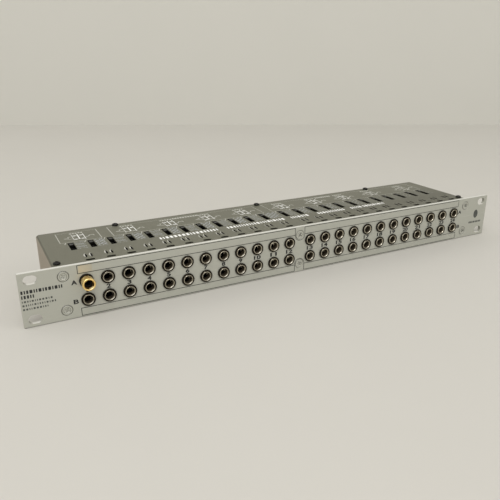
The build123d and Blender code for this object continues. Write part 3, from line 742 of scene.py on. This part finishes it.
def clipped(x0, x1, y0, y1, start_y, slope):
    """The part of the line through (x0, start_y) with this slope inside the window."""
    points = []
    for x in (x0, x1):
        y = start_y + slope * (x - x0)
        if y0 - 1e-9 <= y <= y1 + 1e-9:
            points.append((x, y))
    for y in (y0, y1):
        x = x0 + (y - start_y) / slope
        if x0 + 1e-6 < x < x1 - 1e-6:
            points.append((x, y))
    return points[:2] if len(points) >= 2 else None


def cover_print_guides():
    """Fine slanted lines beside each column, crossing beside every second one."""
    ink = Print(on_cover, top=0.018)
    special_ends = {11: 16.0, 23: 9.5}    # last column of each half
    for i, x in enumerate(COLUMNS):
        x1 = x + special_ends.get(i, PITCH - 5.3)
        for k in range(6):
            for slope in ((-0.85, 0.85) if i % 2 else (-0.85,)):
                start_y = (37.0 if slope > 0 else 42.0) + 4.7 * k
                part = clipped(x + 3.3, x1, 40.0, 57.0, start_y, slope)
                if part:
                    ink.line(part, width=0.31)
    ink.piece("cover_print_guides", inks["faint_ink"])


def cover_print_ticks():
    ink = Print(on_cover, top=0.022)
    for x in COLUMNS:
        ink.line([(x - 4.9, 54.3), (x - 3.3, 59.2)], width=0.6)
    ink.piece("cover_print_ticks", inks["tick_ink"])


def cover_slit_highlights():
    """Two thin painted highlights at each column's slits, bowed to the left, fading into painted
    shade towards the right.
    """
    slit_y, slit_dx = 21.5, 7.5
    highlight_strips = Print(on_cover, bottom=-0.05, top=0.06)
    for x in COLUMNS:
        for dx in (-2.25, 2.05):
            left, right = [], []
            for k in range(13):
                t = k / 12.0
                y = -3.4 + 9.3 * t
                bow = 1.45 * (1.0 - (y / 5.4) ** 2)
                width = 0.12 + 0.46 * math.sin(math.pi * t)
                spine = x + slit_dx + dx - bow + 0.35 + 0.5 * max(0.0, t - 0.6)
                left.append((spine - width, slit_y + y))
                right.append((spine + width * 0.35, slit_y + y))
            highlight_strips.poly(right + left[::-1])
    highlight_strips.piece("cover_slit_highlights", inks["lip_highlight_ink"])


def rear_print():
    """Column numbers between the two rows, and row letters."""
    ink = Print(on_rear)
    ink.numbers(side=-1, height=3.0, widths=(1.4, 2.6, 5.4))
    for side in (-1, 1):
        ink.glyphs("A", side * 201.2, 4.2, height=3.0, width=3.0)
        ink.glyphs("B", side * 201.2, -4.6, height=3.0, width=2.7)
    ink.piece("rear_print", inks["white_ink"])


# this order also sets the order of the random draws
for build in (panel_print, panel_print_soft, screw_head_rings, label_scrap, cover_print_blocks,
              cover_print_diagrams, cover_print_leads, cover_print_guides, cover_print_ticks,
              cover_slit_highlights, rear_print):
    build()

# ------------------------------------------------------------------ floor, backdrop, light, camera
scene = bpy.context.scene
CAMERA_AT = Vector((-262.3847, -406.1472, 177.7263)) * MM
CAMERA_RIGHT = Vector((0.88711157, -0.46155168, -0.00176381))
CAMERA_DOWN = Vector((-0.16177023, -0.30734203, -0.93774798))
CAMERA_FORWARD = Vector((0.43227706, 0.83217241, -0.347312))


def stage_plane(name, corners, material):
    source = bmesh.new()
    source.faces.new([source.verts.new(corner) for corner in corners])
    mesh_object(name, source, material)


def stage():
    """The floor, and a backdrop behind the unit, square to the camera's view."""
    floor = stage_material("pale_floor", srgb(205, 202, 195), 0.55, 0.3, (9, 4), (900, 3))
    wall = stage_material("pale_backdrop", srgb(213, 211, 203), 0.7, 0.2, (4, 3))
    ahead = Vector((CAMERA_FORWARD.x, CAMERA_FORWARD.y, 0)).normalized()
    side = Vector((ahead.y, -ahead.x, 0)) * 4
    far = CAMERA_AT + ahead * 1.48
    near = CAMERA_AT - ahead * 3.0
    far.z = near.z = panel_low.z - 0.0003
    rise = Vector((0, 0, 2.4))
    stage_plane("floor", [near - side, near + side, far + side, far - side], floor)
    stage_plane("backdrop", [far - side, far + side, far + side + rise, far - side + rise], wall)


# name, position, target, size (metres), power (watts)
SOFTBOXES = (
    ("key", (-0.95, -1.45, 2.7), (0, 0, 0), (2.1, 1.7), 40),
    ("fill", (1.3, -1.6, 1.5), (0, 0, 0), (1.8, 1.5), 6),
    ("front", (-0.62, -1.15, 0.5), (0, 0, 0), (0.5, 0.5), 1.6),
    ("back", (-1.3, 1.3, 1.5), (-0.1, 0.1, 0), (1.6, 1.2), 6),
)


def lighting():
    world = bpy.data.worlds.new("soft_world")
    scene.world = world
    world.use_nodes = True
    background = world.node_tree.nodes["Background"]
    background.inputs["Color"].default_value = (1.0, 0.995, 0.975, 1)
    background.inputs["Strength"].default_value = 0.62
    for name, position, target, size, power in SOFTBOXES:
        light = bpy.data.lights.new(name, "AREA")
        light.shape = "RECTANGLE"
        light.size, light.size_y = size
        light.energy = power
        light.color = (1, 0.99, 0.97)
        obj = bpy.data.objects.new(name, light)
        obj.location = position
        aim = Vector(target) - Vector(position)
        obj.rotation_euler = aim.to_track_quat("-Z", "Y").to_euler()
        scene.collection.objects.link(obj)


def camera():
    lens = bpy.data.cameras.new("camera")
    lens.sensor_width = 36.0
    lens.lens = 40.16394
    lens.clip_start = 0.01
    obj = bpy.data.objects.new("camera", lens)
    scene.collection.objects.link(obj)
    turn = Matrix((CAMERA_RIGHT, -CAMERA_DOWN, -CAMERA_FORWARD)).transposed()
    obj.matrix_world = Matrix.Translation(CAMERA_AT) @ turn.to_4x4()
    scene.camera = obj


stage()
lighting()
camera()
scene.view_settings.view_transform = "Standard"
scene.view_settings.look = "None"
